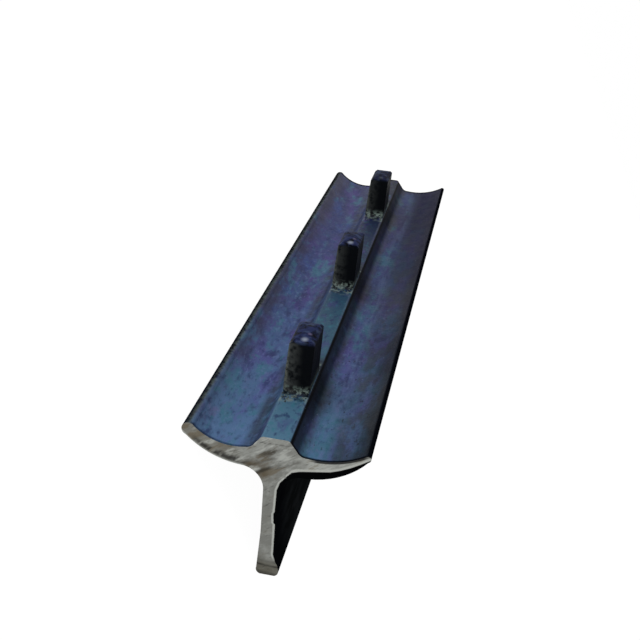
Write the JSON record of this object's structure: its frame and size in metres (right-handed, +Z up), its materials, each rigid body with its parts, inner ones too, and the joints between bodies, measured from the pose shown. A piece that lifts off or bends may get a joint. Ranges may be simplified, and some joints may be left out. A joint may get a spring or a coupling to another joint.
{
  "type": "studded steel tee section",
  "caption": "Short length of hot-rolled steel tee with a dished head, a central rib carrying a row of upright studs, a slim web and a swollen foot.",
  "frame": {"origin": "on the floor under the middle of the bar's overall box", "axes": "+Y along the bar towards its far end, +Z up from the floor, -X towards the side the studs point to"},
  "size_m": [0.038, 0.162, 0.031],
  "materials": {
    "rolled_steel": "blue heat-tinted mill scale, bare grey cut ends"
  },
  "bodies": {
    "root": {"tee_section": "rolled_steel"}
  },
  "joints": []
}
